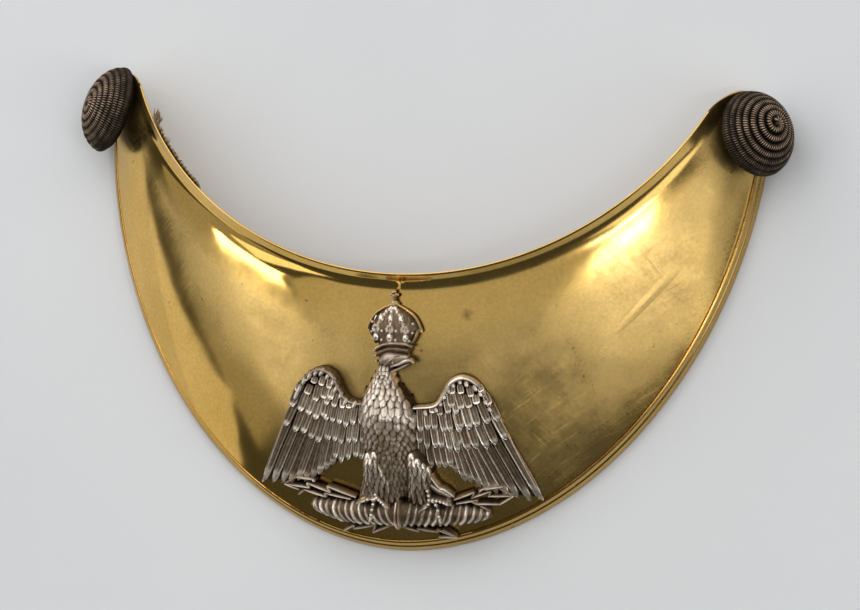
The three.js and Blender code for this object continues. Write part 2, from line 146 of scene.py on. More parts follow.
def plate_sections(angle):
    """Section lines for a column of angles, as radius and height: the face from the lip down, and the border.
    Also the face's inward normal, and the lip's lean."""
    height, lean = lip_edge(angle)
    ends = body_ends(angle)
    rim = ends[2] + rim_run
    lip_share = np.linspace(0.1, 0.6, 6)
    lip = np.array([mix(neck_radius, ends[0], lip_share), mix(height, ends[1], lip_share)])
    # The lip runs into the body by a hollow fillet, a parabola drawn to the corner between them.
    fillet_share = 0.09
    turn = np.linspace(0, 1, 11)[1:-1]
    corner = np.array(ends[:2])
    fillet_end = np.array(body_point(ends, fillet_share))
    fillet = (1 - turn) ** 2 * lip[..., -1:] + 2 * turn * (1 - turn) * corner + turn**2 * fillet_end
    body_last = 1 - (border_width - rim_run) / (ends[2] - ends[0])
    body = body_point(ends, mix(fillet_share, body_last, np.linspace(0, 1, body_count)))
    face = np.concatenate([lip, fillet, body], axis=-1)
    # The border is a rib below a crease, a groove, a second rib down to the foot, and back up inside.
    border = np.array([rim - border_inset, border_rise + 0 * rim])
    run = np.gradient(face, axis=-1)
    return face, border, np.array([run[1], -run[0]]) / np.hypot(*run), lean


def plate_rings():
    """The plate's rings, and how far each point is hazed by handling: most on the body's middle."""
    body_angles = np.linspace(-button_angle, button_angle, 299)
    turns = np.sin(np.linspace(0, 0.495 * np.pi, 24)[1:])
    left_tip, right_tip = tip_turns
    left_angles = -button_angle - left_tip * turns[::-1]
    angle = np.concatenate([left_angles, body_angles, button_angle + right_tip * turns])[:, None]
    tip_turn = np.where(angle < 0, left_tip, right_tip)
    keep = np.sqrt(1 - (np.clip(np.abs(angle) - button_angle, 0, None) / tip_turn) ** 2)
    face, border, inward, lean = plate_sections(angle)
    lip_count = face.shape[-1] - body_count
    taper = np.concatenate([np.linspace(lip_edge_share, 1, lip_count), np.ones(body_count)])
    depth = sheet_thickness * taper / np.maximum(keep, 0.35)
    back = (face + inward * depth)[..., ::-1]
    # The lip's edge is rounded between front and back.
    middle = (face[..., :1] + back[..., -1:]) / 2
    turn = np.radians(np.array([-45, 0, 45]))
    out = np.array([-np.cos(lean), np.sin(lean)])
    edge = middle + depth[:, :1] / 2 * (out * np.cos(turn) - inward[..., :1] * np.sin(turn))
    ring = np.concatenate([face, border, back, edge], axis=-1)
    # Towards a horn's tip the section shrinks round the place where the button sits.
    lip_height = lip_edge(angle)[0]
    centre = np.array([mix(neck_radius, rim_radius(angle), tip_share), mix(lip_height, 0, tip_share)])
    radius, height = mix(centre, ring, keep)
    # Haze by the share of the way from lip to rim. The left's outer band is left polished.
    share = np.linspace(0, 1, body_count)
    to_left_horn = np.clip((-angle - np.radians(28)) / np.radians(22), 0, 1)
    inside_band = np.interp(share + 0.3 * to_left_horn, [0.4, 0.62, 0.9], [1, 0.2, 0])
    on_left = np.interp(share, [0.02, 0.2], [0, 1]) * inside_band
    on_right = np.interp(share, [0, 0.1, 0.28, 0.85, 1], [0.3, 0.4, 1, 0.9, 0.5])
    to_right = np.clip(angle / np.radians(40) + 0.5, 0, 1)
    to_tip = np.clip((np.abs(angle) - np.radians(52)) / np.radians(8), 0, 1)
    haze = np.zeros(radius.shape)
    haze[:, :lip_count] = np.maximum(0.8 * to_tip, 0.35 * to_right)
    border_first = lip_count + body_count
    haze[:, lip_count:border_first] = np.maximum(mix(on_left, on_right, to_right), to_tip)
    haze[:, border_first : border_first + len(outside_inset)] = 0.5 * to_right
    return np.stack([radius * np.sin(angle), neck_centre_y - radius * np.cos(angle), height], axis=-1), haze


def placed(name, data):
    thing = bpy.data.objects.new(name, data)
    scene.collection.objects.link(thing)
    return thing


def casting(name, forms, sharp):
    """One mesh of closed tubes. Each form is its rings of points and how far each point is worn bright."""
    points = []
    faces = []
    wear = []
    first = 0
    for rings, worn in forms:
        rows, columns = rings.shape[:2]
        at = first + np.arange(rows * columns).reshape(rows, columns)
        after = np.roll(at, -1, axis=1)
        faces += np.stack([at[:-1], after[:-1], after[1:], at[1:]], axis=-1).reshape(-1, 4).tolist()
        faces += [at[0][::-1].tolist(), at[-1].tolist()]
        points.append(rings.reshape(-1, 3))
        wear.append(np.broadcast_to(worn, (rows, columns)).reshape(-1))
        first += rows * columns
    mesh = bpy.data.meshes.new(name)
    mesh.from_pydata(on_frame(np.concatenate(points)).tolist(), [], faces)
    wear_values = mesh.attributes.new("wear", "FLOAT", "POINT").data
    wear_values.foreach_set("value", np.concatenate(wear).astype(np.float32))
    shell = bmesh.new()
    shell.from_mesh(mesh)
    bmesh.ops.recalc_face_normals(shell, faces=shell.faces)
    shell.to_mesh(mesh)
    shell.free()
    mesh.shade_smooth()
    mesh.set_sharp_from_angle(angle=np.radians(sharp))
    return placed(name, mesh)


def new_material(name, **sockets):
    """A material whose shader has these constant values on its own sockets, named with _ for a space."""
    material = bpy.data.materials.new(name)
    material.use_nodes = True
    shader = material.node_tree.nodes["Principled BSDF"]
    for socket, value in sockets.items():
        shader.inputs[socket.replace("_", " ")].default_value = value
    return material, material.node_tree


def finished(material, **sockets):
    """The material, with outputs linked to its shader's sockets, named the same way."""
    tree = material.node_tree
    for socket, output in sockets.items():
        tree.links.new(output, tree.nodes["Principled BSDF"].inputs[socket.replace("_", " ")])
    return material


def node(tree, kind, inputs=None, **settings):
    made = tree.nodes.new("ShaderNode" + kind)
    for setting, value in settings.items():
        setattr(made, setting, value)
    for socket, value in (inputs or {}).items():
        if isinstance(value, bpy.types.NodeSocket):
            tree.links.new(value, made.inputs[socket])
        else:
            made.inputs[socket].default_value = value
    return made


def ramp(tree, factor, stops):
    """A colour ramp through (place, colour) stops; a plain number is a grey."""
    made = node(tree, "ValToRGB", {"Fac": factor})
    elements = made.color_ramp.elements
    while len(elements) < len(stops):
        elements.new(0.5)
    for element, (place, colour) in zip(elements, stops):
        element.position = place
        element.color = (*colour, 1) if isinstance(colour, tuple) else (colour, colour, colour, 1)
    return made.outputs["Color"]


def noise(tree, vector, scale, detail=3.0, roughness=0.55):
    grain = {"Vector": vector, "Scale": scale, "Detail": detail, "Roughness": roughness}
    return node(tree, "TexNoise", grain).outputs["Fac"]


def blend(tree, share, low, high, kind="MIX"):
    made = node(tree, "Mix", {0: share, 6: low, 7: high}, data_type="RGBA", blend_type=kind)
    return made.outputs[2]


def hairlines(tree, place, degrees, length, width, sparse):
    """Thin polishing scratches in one direction: noise drawn out along it, where a second noise is high."""
    drawn = {"Rotation": (0, 0, np.radians(degrees)), "Scale": (length * mm, width * mm, length * mm)}
    turned = node(tree, "Mapping", {"Vector": place, **drawn}, vector_type="TEXTURE")
    lines = ramp(tree, noise(tree, turned.outputs["Vector"], 1.0, 1.0), [(0.58, 0.0), (0.68, 1.0)])
    patches = ramp(tree, noise(tree, place, 45.0), [(sparse, 0.0), (sparse + 0.2, 1.0)])
    return blend(tree, 1.0, lines, patches, "MULTIPLY")


def bump(tree, height, strength, depth, invert=False, **under):
    """The normal that a height gives, over the normal under it."""
    raised = {"Height": height, "Strength": strength, "Distance": depth * mm, **under}
    return node(tree, "Bump", raised, invert=invert).outputs["Normal"]


def brass_finish():
    gold = (0.88, 0.56, 0.165)
    dull_gold = (0.72, 0.45, 0.11)
    highlight_pale_gold = (0.88, 0.66, 0.29)
    # A brown for specks and stains, also used for the border's painted shade.
    brown_spot_and_shade = (0.16, 0.085, 0.03)
    stain_places = [(15.5, 46.0, 1.6), (6.6, 38.4, 0.5)]
    material, tree = new_material("polished_brass", Metallic=1.0)
    place = node(tree, "TexCoord").outputs["Object"]
    colour = ramp(tree, noise(tree, place, 38.0, 5.0), [(0.35, dull_gold), (0.62, gold)])
    hazed = node(tree, "Attribute", attribute_name="wear").outputs["Fac"]
    # Hazed places are mixed a little towards a paler gold: a painted highlight that whitens the sheen they
    # spread.
    highlight_paling = node(tree, "Math", {0: hazed, 1: 0.38}, operation="MULTIPLY").outputs["Value"]
    colour = blend(tree, highlight_paling, colour, (*highlight_pale_gold, 1))
    grain = ramp(tree, noise(tree, place, 1500.0, 2.0), [(0.3, 0.86), (0.7, 1.0)])
    colour = blend(tree, 1.0, colour, grain, "MULTIPLY")
    specks = ramp(tree, noise(tree, place, 700.0, 2.0), [(0.73, 0.0), (0.78, 0.75)])
    colour = blend(tree, specks, colour, (*brown_spot_and_shade, 1))
    # The border, lower than the face, is darkened: painted shade that stands for its dark reflection, in its
    # crease and groove most of all.
    height = node(tree, "SeparateXYZ", {"Vector": place}).outputs["Z"]
    limits = {"From Min": 3.3 * mm, "From Max": 2.9 * mm, "To Max": 0.35}
    low = node(tree, "MapRange", {"Value": height, **limits})
    colour = blend(tree, low.outputs["Result"], colour, (*brown_spot_and_shade, 1))
    # Two brown stains near the crown, ragged at their edges.
    for x, y, reach in stain_places:
        centre = on_frame(on_front(np.array(x), np.array(y), 0.0))
        away = node(tree, "VectorMath", {0: place, 1: tuple(centre)}, operation="DISTANCE")
        spread = {0: noise(tree, place, 900.0), 1: reach * mm, 2: away.outputs["Value"]}
        ragged = node(tree, "Math", spread, operation="MULTIPLY_ADD")
        limits = {"From Min": reach * mm * 1.4, "From Max": reach * mm * 0.5, "To Max": 0.7}
        inside = node(tree, "MapRange", {"Value": ragged.outputs["Value"], **limits})
        colour = blend(tree, inside.outputs["Result"], colour, (*brown_spot_and_shade, 1))
    swirl = node(tree, "TexNoise", {"Vector": place, "Scale": 60.0, "Detail": 1.0}).outputs["Color"]
    swung = {0: swirl, 1: (3 * mm, 3 * mm, 3 * mm), 2: place}
    bent = node(tree, "VectorMath", swung, operation="MULTIPLY_ADD").outputs["Vector"]
    rising = hairlines(tree, bent, 40, 9.0, 0.11, 0.40)
    falling = hairlines(tree, bent, -42, 7.0, 0.12, 0.46)
    scratches = blend(tree, 1.0, blend(tree, 1.0, rising, falling, "ADD"), hazed, "MULTIPLY")
    uneven = ramp(tree, noise(tree, place, 90.0, 6.0, 0.65), [(0.3, 0.17), (0.7, 0.4)])
    polished = node(tree, "Math", {0: hazed, 1: uneven, 2: 0.07}, operation="MULTIPLY_ADD").outputs["Value"]
    rough = blend(tree, 1.0, polished, ramp(tree, scratches, [(0.0, 0.0), (1.0, 0.18)]), "ADD")
    waves = bump(tree, noise(tree, place, 55.0, 2.0), 0.08, 1.5)
    # A shallow crease crosses the right shoulder.
    crease_place = {"Location": tuple(on_frame((50.5, 52.9, 0))), "Rotation": (0, 0, np.radians(51.5))}
    crease_size = {"Scale": (11 * mm, 0.9 * mm, 1)}
    lying = node(tree, "Mapping", {"Vector": place, **crease_place, **crease_size}, vector_type="TEXTURE")
    crease = node(tree, "TexGradient", {"Vector": lying.outputs["Vector"]}, gradient_type="SPHERICAL")
    creased = bump(tree, crease.outputs["Fac"], 1.0, 0.11, Normal=waves)
    cut = bump(tree, scratches, 0.15, 0.02, invert=True, Normal=creased)
    return finished(material, Base_Color=colour, Roughness=rough, Normal=cut)


plate = casting("plate_sheet", [plate_rings()], sharp=40)
polished_brass = brass_finish()
plate.data.materials.append(polished_brass)
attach(plate, "root")
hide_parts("plate")

# Eagle badge. A crowned eagle standing on a thunderbolt, cast in one piece in silvered metal with hollows
# gone dark and high places rubbed bright. It follows the plate's curve, and two pins on its back go through.

badge_x = 1.0
badge_gap = 0.35
web_thickness = 0.9
wing_web = np.array(
    [
        # top u, top v, low u, low v
        (4.5, 27.4, 4.5, 18.6),
        (8.6, 28.0, 8.0, 17.8),
        (11.0, 31.2, 11.6, 17.6),
        (14.1, 33.5, 15.2, 15.6),
        (17.6, 31.8, 19.0, 13.9),
        (20.4, 27.2, 23.2, 12.8),
        (23.0, 21.8, 27.4, 12.7),
    ]
)
# Rows of wing feathers, the lowest lying first. Tips run on a curve from the inner feather through a bend to
# the outer.
inner_way = np.array([0.10, -1.0])
outer_way = np.array([0.49, -0.87])
wing_rows = [
    # count, first tip, bend, last tip, length inner and outer, half width, height at root and tip
    (11, (11.8, 17.0), (17.5, 11.0), (28.6, 12.2), (6.5, 17.0), 0.98, (1.5, 1.15)),
    (5, (6.3, 17.4), (9.4, 16.6), (12.0, 17.0), (5.0, 5.2), 0.78, (1.5, 1.6)),
    (6, (6.0, 20.6), (9.6, 20.2), (13.2, 20.4), (4.6, 4.8), 0.74, (1.7, 1.95)),
    (6, (13.6, 20.9), (17.6, 20.2), (22.5, 23.2), (5.2, 5.6), 0.98, (1.6, 1.75)),
    (6, (6.2, 24.0), (9.8, 23.6), (13.6, 24.2), (4.2, 4.2), 0.76, (1.9, 2.2)),
    (5, (14.0, 24.8), (17.4, 24.6), (20.9, 27.0), (4.4, 4.4), 0.98, (1.85, 2.1)),
    (4, (8.6, 27.0), (10.6, 26.8), (13.2, 27.6), (1.6, 3.6), 0.74, (2.05, 2.35)),
    (5, (12.4, 28.6), (15.4, 28.0), (19.3, 29.9), (3.4, 1.8), 0.9, (2.0, 2.4)),
    (4, (12.6, 31.0), (15.0, 30.6), (17.9, 31.9), (2.4, 1.2), 0.78, (2.1, 2.5)),
]
# Lines of the casting, as rows of u, v, half width and height.
front_edge = [
    (4.6, 27.7, 0.45, 2.5),
    (8.8, 28.4, 0.55, 2.6),
    (10.6, 30.6, 0.6, 2.7),
    (12.0, 33.0, 0.65, 2.8),
    (14.4, 34.1, 0.65, 2.8),
    (17.0, 33.1, 0.62, 2.6),
    (19.0, 30.6, 0.5, 2.4),
    (20.0, 28.2, 0.3, 2.2),
]
outer_edge = [
    (19.6, 30.2, 0.3, 1.9),
    (21.6, 26.4, 0.34, 1.8),
    (24.6, 20.4, 0.32, 1.6),
    (28.9, 12.3, 0.25, 1.3),
]
body_rows = [
    (0.3, 10.6, 2.2, 1.8),
    (0.2, 13.5, 3.8, 2.6),
    (0.0, 16.5, 4.9, 3.4),
    (-0.3, 20.0, 5.5, 3.7),
    (-0.5, 23.5, 5.9, 4.1),
    (-0.55, 26.2, 5.95, 4.5),
    (-0.95, 28.8, 5.1, 4.0),
    (-1.25, 30.8, 3.9, 3.2),
    (-1.45, 32.6, 2.6, 2.9),
    (-1.25, 34.5, 1.8, 2.9),
    (-0.2, 37.2, 2.1, 2.9),
]
head_rows = [
    (-1.9, 36.2, 1.2, 3.2),
    (-0.4, 36.8, 1.9, 3.8),
    (1.2, 37.0, 1.6, 3.9),
    (2.6, 37.3, 1.0, 3.6),
    (3.6, 37.4, 0.6, 3.2),
]
brow = [(-1.2, 35.3, 0.14, 4.0), (0.1, 36.4, 0.22, 4.4), (1.3, 37.3, 0.26, 4.4), (2.2, 37.5, 0.16, 4.1)]
upper_beak = [
    (0.4, 35.5, 0.3, 4.0),
    (2.0, 36.1, 0.42, 4.3),
    (3.4, 36.75, 0.5, 4.2),
    (4.2, 36.8, 0.46, 3.8),
    (4.8, 36.2, 0.2, 3.1),
]
lower_beak = [
    (0.5, 34.5, 0.28, 3.7),
    (2.0, 35.15, 0.34, 3.9),
    (3.4, 35.9, 0.26, 3.6),
    (4.0, 36.25, 0.14, 3.2),
]
crown_rows = [
    (0.6, 38.4, 3.3, 2.6),
    (0.6, 39.8, 3.75, 3.0),
    (0.5, 41.2, 4.7, 3.3),
    (0.4, 42.3, 5.3, 3.4),
    (0.3, 43.8, 4.8, 3.4),
    (0.25, 45.2, 3.8, 3.1),
    (0.2, 46.2, 2.4, 2.7),
    (0.2, 46.95, 0.8, 2.0),
]
bolt_rows = [
    (-17.9, 8.5, 0.6, 1.5),
    (-16.2, 8.3, 1.4, 2.2),
    (-12.0, 7.6, 2.0, 2.8),
    (-8.0, 7.4, 2.2, 3.1),
    (0.8, 7.6, 2.3, 3.2),
    (8.0, 7.9, 2.2, 3.1),
    (14.0, 8.3, 1.85, 2.7),
    (17.6, 8.6, 1.3, 2.1),
    (19.2, 8.7, 0.6, 1.5),
]
left_thigh = [
    (-3.0, 9.8, 4.4, 2.4),
    (-2.6, 12.0, 4.2, 2.9),
    (-2.9, 15.0, 3.2, 3.8),
    (-3.6, 17.6, 2.0, 4.8),
    (-3.7, 19.6, 1.2, 3.6),
]
right_thigh = [
    (5.0, 10.2, 2.2, 2.5),
    (5.3, 12.6, 2.5, 3.1),
    (5.7, 15.4, 2.6, 4.0),
    (5.0, 17.8, 2.1, 4.8),
    (4.4, 19.8, 1.2, 3.6),
]


def on_badge(form):
    """A form in the badge's own u, v and height, laid on the plate."""
    rings, worn = form
    return on_front(badge_x + rings[..., 0], rings[..., 1], badge_gap + rings[..., 2]), worn


def through(rows, count):
    """A smooth line through rows of values."""
    rows = np.asarray(rows, dtype=float)
    place = np.linspace(0, len(rows) - 1, count)
    before = np.minimum(place.astype(int), len(rows) - 2)
    share = (place - before)[:, None]
    slope = np.gradient(rows, axis=0)
    start, swing = rows[before], rows[before + 1] - rows[before]
    start_slope, end_slope = slope[before], slope[before + 1]
    bend = 3 * swing - 2 * start_slope - end_slope
    twist = start_slope + end_slope - 2 * swing
    return start + share * (start_slope + share * (bend + share * twist))


def closed_under(u, v, height, worn, depth):
    """Rings with the given tops and an underside some depth below their edges."""
    low = np.maximum(height[:, [-1, 0]] - depth, 0.03)
    top = np.stack([u, v, height], axis=-1)
    under = np.stack([u[:, [-1, 0]], v[:, [-1, 0]], low], axis=-1)
    return np.concatenate([top, under], axis=1), np.concatenate([worn, worn[:, [-1, 0]] * 0], axis=1)


def ridge(rows, stations=None, columns=9, base=0.3, dull=0.1, bright=0.9, depth=1.2):
    """A rounded form along rows of u, v, half width and height; its sides go down to the base height."""
    line = through(rows, stations or 5 * len(rows))
    way = np.gradient(line[:, :2], axis=0)
    way /= np.linalg.norm(way, axis=1, keepdims=True) + 1e-9
    turn = np.radians(np.linspace(-90, 90, columns))
    side = np.maximum(line[:, 2:3], 0.02) * np.sin(turn)
    height = base + (line[:, 3:4] - base) * np.cos(turn)
    worn = mix(dull, bright, np.cos(turn) ** 1.5) + 0 * side
    u = line[:, :1] - way[:, 1:] * side
    v = line[:, 1:2] + way[:, :1] * side
    return closed_under(u, v, height, worn, depth)


def mound(rows, along):
    """Height over the table of a ridge whose rows run along u (0) or v (1)."""
    rows = np.array(sorted(rows, key=lambda row: row[along]))

    def height(u, v):
        place, across = (v, u) if along else (u, v)
        centre, half, top = [np.interp(place, rows[:, along], rows[:, k]) for k in (1 - along, 2, 3)]
        return 0.1 + (top - 0.1) * np.sqrt(np.clip(1 - np.abs((across - centre) / half) ** 2.6, 0, 1))

    return height


def feather(root, tip, half, lift, ground=None, slim=0.0, stations=13, tone=1.0, plain=False):
    """One feather: a rounded vane with a raised outline and shaft, or a plain one with a domed back. slim
    turns its round end into a point."""
    root, tip = np.asarray(root, dtype=float), np.asarray(tip, dtype=float)
    t = np.linspace(0, 1, stations)[:, None]
    w = np.linspace(-1, 1, 9)[None, :]
    way = unit(tip - root)
    round_end = np.sqrt(np.clip(1.0004 - (np.clip(t - 0.72, 0, None) / 0.28) ** 2, 0, 1))
    reach = half * mix(0.75, 1, np.clip(t / 0.3, 0, 1)) * mix(round_end, 1.02 - t**1.6, slim)
    side = reach * w
    u = mix(root[0], tip[0], t) - way[1] * side
    v = mix(root[1], tip[1], t) + way[0] * side
    if plain:
        relief = 0.5 * half * (1 - w**2) * (1 - 0.5 * t**4)
        worn = tone * mix(0.3, 1, t) * (1 - 0.95 * np.abs(w) ** 2.5)
    else:
        sides = np.exp(-(((np.abs(w) - 0.78) / 0.17) ** 2))
        end = np.exp(-(((t - 0.9) / 0.07) ** 2))
        shaft = 0.35 * np.exp(-((w / 0.16) ** 2))
        raised = np.maximum(np.maximum(sides, end), shaft)
        relief = min(0.24, 0.28 * half) * raised - 0.42 * half * w**6
        worn = tone * mix(0.55, 1, t) * (0.24 + 0.86 * raised) * (1 - 0.97 * w**8)
    height = mix(lift[0], lift[1], t) + relief
    if ground:
        height = height + ground(u, v)
    return closed_under(u, v, height, worn, 0.55)


def bead(u, v, radius, base, top, stretch=1.0):
    """A raised drop, longer than wide where stretched."""
    turn = np.radians(np.linspace(8, 172, 9))
    along = v - stretch * radius * np.cos(turn)
    rows = np.stack([0 * turn + u, along, radius * np.sin(turn), mix(base, top, np.sin(turn))], axis=1)
    return ridge(rows, stations=9, columns=7, base=base, dull=0.35, bright=1.0, depth=0.5)


def seated(ground, u, v, radius, sink, rise, stretch=1.0):
    """A drop that stands on a mound."""
    top = ground(u, v)
    return bead(u, v, radius, top - sink, top + rise, stretch)


def wing(side, chance):
    share = np.linspace(0, 1, 11)[None, :]
    web = through(wing_web, 30)
    u = mix(web[:, 2:3], web[:, 0:1], share)
    v = mix(web[:, 3:4], web[:, 1:2], share)
    height = 0 * u + web_thickness
    forms = [closed_under(u, v, height, 0 * u + 0.05, web_thickness)]
    for count, first, bend, last, length, half, lift in wing_rows:
        first, bend, last = np.array([first, bend, last])
        long_feather = count > 10
        for t in np.linspace(0, 1, count):
            tip = (1 - t) ** 2 * first + 2 * t * (1 - t) * bend + t * t * last
            outward = np.clip((tip[0] - 6) / 17, 0, 1)
            way = mix(inner_way, outer_way, outward**1.3)
            root = tip - mix(*length, t) * unit(way)
            astray = 0.3 if long_feather else 0.55
            tip = tip + chance.uniform(-0.2, 0.2, 2) + chance.uniform(-astray, astray) * way
            tone = (0.82 if long_feather else 1.16) * chance.uniform(0.7, 1.2)
            stations = 24 if long_feather else 14
            forms.append(feather(root, tip, half, lift, stations=stations, tone=tone))
    # On the left wing the front edge's top is kept duller than on the right: painted shade on that edge.
    forms.append(ridge(front_edge, stations=44, base=0.6, dull=0.03, bright=1.0 if side > 0 else 0.4))
    # Small feathers lie over the front edge, longer on the left wing.
    reach = 1.7 if side < 0 else 1.0
    for place in through(front_edge, 14)[1:-1]:
        root = place[:2] + (-0.2, 0.5 if side < 0 else -0.4)
        tip = root + reach * np.array([0.42, -0.9]) + chance.uniform(-0.25, 0.25, 2)
        tone = chance.uniform(0.8, 1.2)
        lying = feather(root, tip, 0.58, (2.2, 2.6), slim=0.3, stations=10, tone=tone, plain=True)
        forms.append(lying)
    forms.append(ridge(outer_edge, stations=30, base=0.4, dull=0.15, bright=0.85))
    for rings, _ in forms:
        rings[..., 0] *= side
    return forms


def plumage(rows, ground, v_from, v_to, sizes, tones, chance, slim=0.25):
    """Overlapping plain feathers over a mound, from its upper end down. sizes and tones go by v."""
    rows = np.array(sorted(rows, key=lambda row: row[1]))
    forms = []
    v = v_from
    odd = 0
    while v > v_to:
        size = np.interp(v, *sizes)
        centre, half = [np.interp(v, rows[:, 1], rows[:, k]) for k in (0, 2)]
        count = max(2, int(round(2.2 * half / (0.62 * size))))
        for i in range(count):
            across = ((i + 0.3 + 0.4 * odd) / count * 2 - 1) * 1.06
            stray = chance.uniform(-0.12, 0.12, 2) * size
            root = (centre + across * half * 0.92 + stray[0], v + 0.3 * size)
            tip = (centre + across * (half + 0.08 * size) + stray[1], v - chance.uniform(0.6, 0.85) * size)
            lift = (-0.1 * size, 0.24 * size + chance.uniform(0, 0.12))
            tone = np.interp(v, *tones) * chance.uniform(0.7, 1.2)
            lying = feather(root, tip, 0.42 * size, lift, ground, slim, 10, tone, plain=True)
            forms.append(lying)
        v -= 0.52 * size
        odd = 1 - odd
    return forms


def bird(chance):
    forms = [ridge(body_rows, stations=40, columns=13, dull=0.02, bright=0.1, depth=1.0)]
    over_body = mound(body_rows, 1)
    body_sizes = ([12, 18, 23, 26, 29, 32.5, 36], [1.3, 1.5, 2.0, 2.5, 2.4, 1.6, 1.2])
    body_tones = ([14, 20, 24.5, 26.5, 29, 33, 36], [0.5, 0.48, 0.55, 0.95, 1.0, 0.92, 0.9])
    forms += plumage(body_rows, over_body, 35.2, 11.6, body_sizes, body_tones, chance)
    forms.append(ridge(head_rows, stations=24, columns=11, base=0.8, dull=0.1, bright=0.45))
    for line in (brow, upper_beak, lower_beak):
        forms.append(ridge(line, stations=22, base=2.2, dull=0.2, bright=1.0))
    forms.append(bead(0.9, 36.3, 0.26, 3.4, 4.5))
    return forms


def crown():
    forms = [ridge(crown_rows, stations=36, columns=15, dull=0.16, bright=0.26)]
    over_crown = mound(crown_rows, 1)
    # A bright edge follows the dome's outline.
    dome = through(crown_rows, 40)[16:]
    outline = [(u - half, v, 0.26, 1.9) for u, v, half, _ in dome]
    outline += [(u + half, v, 0.26, 1.9) for u, v, half, _ in dome[::-1]]
    forms.append(ridge(outline, stations=70, columns=7, base=0.7, dull=0.25, bright=0.9))

    def raised(path, half, rise):
        return [(u, v, half, over_crown(u, v) + rise) for u, v in path]

    band = [
        (-2.9, 38.6, 0.28, 3.3),
        (-1.2, 39.45, 0.32, 3.9),
        (0.9, 39.8, 0.34, 4.1),
        (3.0, 39.75, 0.32, 3.9),
        (4.3, 39.3, 0.26, 3.3),
    ]
    forms.append(ridge(band, stations=30, base=2.0, dull=0.3, bright=1.0))
    headband = [
        (-2.6, 37.6, 0.9, 2.8),
        (-0.6, 38.5, 0.9, 3.3),
        (1.4, 38.7, 0.9, 3.4),
        (3.6, 38.5, 0.8, 2.9),
    ]
    forms.append(ridge(headband, stations=24, columns=11, base=1.0, dull=0.08, bright=0.28))
    forms += [bead(u, v, 0.26, 2.6, 3.5) for u, v in [(-3.1, 38.2), (-2.8, 37.3), (-2.6, 36.3)]]
    # Arches from the band to the orb, and on each a column of drops with a small horseshoe between them.
    middle, foot, rise = 0.25, 40.0, 6.6
    for spread in (-3.1, -0.25, 2.7):
        arch = [(middle + spread * (1.05 - t**2.4), foot + rise * t) for t in np.linspace(0, 1, 6)]
        forms.append(ridge(raised(arch, 0.6, 0.2), stations=20, base=2.0, dull=0.06, bright=0.65))
        for v, size, stretch in [(45.6, 0.44, 1.5), (44.3, 0.64, 1.6), (40.9, 0.74, 1.2)]:
            u = middle + spread * (1.05 - ((v - foot) / rise) ** 2.4)
            forms.append(seated(over_crown, u, v, size, 0.2, 0.75, stretch))
        u = middle + spread
        bends = np.radians(np.linspace(-130, 130, 7))
        shoe = [(u + 0.6 * np.sin(bend), 42.35 + 0.7 * np.cos(bend)) for bend in bends]
        forms.append(ridge(raised(shoe, 0.38, 0.8), stations=22, columns=7, base=2.6, dull=0.4, bright=1.0))
        for offset in (-0.65, 0.65):
            petal = [(u + offset * 0.85, 43.2), (u + offset * 0.95, 44.0), (u + offset * 0.55, 44.9)]
            petal = raised(petal, 0.16, 0.35)
            forms.append(ridge(petal, stations=12, columns=5, base=2.2, dull=0.2, bright=0.9))
    pearls = [(-1.7, 40.3), (1.2, 40.45), (3.7, 40.3), (-4.2, 41.7), (-1.6, 42.0), (1.3, 42.1)]
    pearls += [(4.3, 41.9), (-4.0, 43.6), (4.3, 43.6)]
    forms += [seated(over_crown, u, v, 0.36, 0.2, 0.6) for u, v in pearls]
    # The side profile of the outer arches, ending in pointed tips.
    sides = [
        [(-3.2, 39.6, 0.16, 2.5), (-3.9, 40.8, 0.18, 2.5), (-4.5, 41.8, 0.2, 2.4), (-4.9, 42.5, 0.12, 2.2)],
        [(4.2, 40.0, 0.16, 2.7), (4.8, 41.2, 0.2, 2.7), (5.2, 42.3, 0.22, 2.6), (5.8, 42.9, 0.14, 2.2)],
    ]
    forms += [ridge(side, stations=18, columns=7, base=1.2, dull=0.4, bright=1.0) for side in sides]
    orb = [(0.2, 46.6, 0.5, 2.2), (0.2, 47.05, 0.72, 2.7), (0.2, 47.45, 0.74, 2.9), (0.2, 47.85, 0.45, 2.6)]
    forms.append(ridge(orb, stations=14, base=0.4, dull=0.15, bright=0.95))
    stem = [(0.15, 47.7, 0.3, 2.2), (0.0, 48.5, 0.26, 2.2), (-0.1, 49.0, 0.3, 2.3)]
    forms.append(ridge(stem, stations=10, base=0.3, dull=0.1, bright=0.5))
    cross = [(-0.55, 49.05), (0.4, 49.05), (-0.1, 49.6), (-0.08, 48.85)]
    forms += [bead(u, v, 0.36, 0.8, 2.5) for u, v in cross]
    return forms


def thigh(rows, knobs, chance):
    """A shaggy thigh: long loose feathers falling from the knee to the foot."""
    over_thigh = mound(rows, 1)
    forms = [ridge(rows, stations=26, columns=13, dull=0.05, bright=0.2)]
    sizes = ([11, 18], [2.0, 1.5])
    tones = ([11, 15, 18.5], [0.55, 0.75, 1.2])
    forms += plumage(rows, over_thigh, 18.4, 10.6, sizes, tones, chance, slim=0.75)
    forms += [seated(over_thigh, u, v, size, 0.5, 0.3, 1.5) for u, v, size in knobs]
    return forms


def toe(points, top):
    """A toe of round scutes that ends in a claw."""
    line = through([(u, v, 0.36, top) for u, v in points], 18)
    forms = [ridge(line, stations=18, columns=7, base=1.6, dull=0.1, bright=0.5)]
    for place in line[2:13:3]:
        forms.append(bead(place[0], place[1], 0.42, top - 0.7, top + 0.22, 0.8))
    claw = [
        (*line[-6, :2], 0.5, top + 0.4),
        (*line[-3, :2], 0.46, top + 0.3),
        (*line[-1, :2], 0.16, top - 0.6),
    ]
    forms.append(ridge(claw, stations=12, columns=7, base=1.6, dull=0.3, bright=1.0))
    return forms


